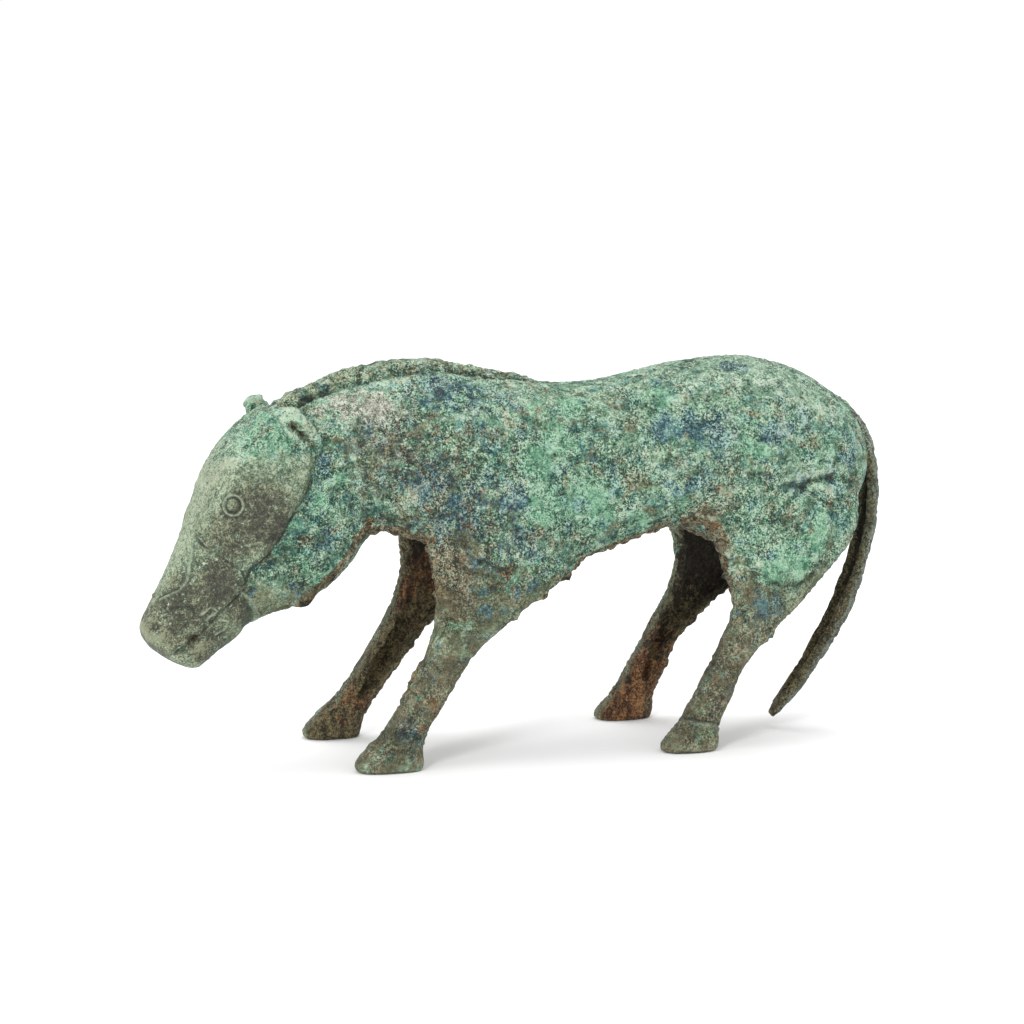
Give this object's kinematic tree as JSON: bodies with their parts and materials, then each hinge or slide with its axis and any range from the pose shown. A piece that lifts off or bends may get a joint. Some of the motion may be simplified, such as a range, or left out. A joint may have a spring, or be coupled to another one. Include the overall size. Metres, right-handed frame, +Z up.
{
  "type": "bronze horse figurine",
  "caption": "Small standing horse with lowered head, cropped mane and long curved tail, cast hollow in bronze and open along its underside.",
  "frame": {"origin": "middle of the length and width, on the plane that the hooves stand on", "axes": "+X from the head to the tail, +Y to the horse's right side, +Z up"},
  "size_m": [0.2248, 0.066, 0.1134],
  "materials": {
    "bronze": "matt green and brown corrosion crust"
  },
  "bodies": {
    "root": {"horse": "bronze"}
  },
  "joints": []
}
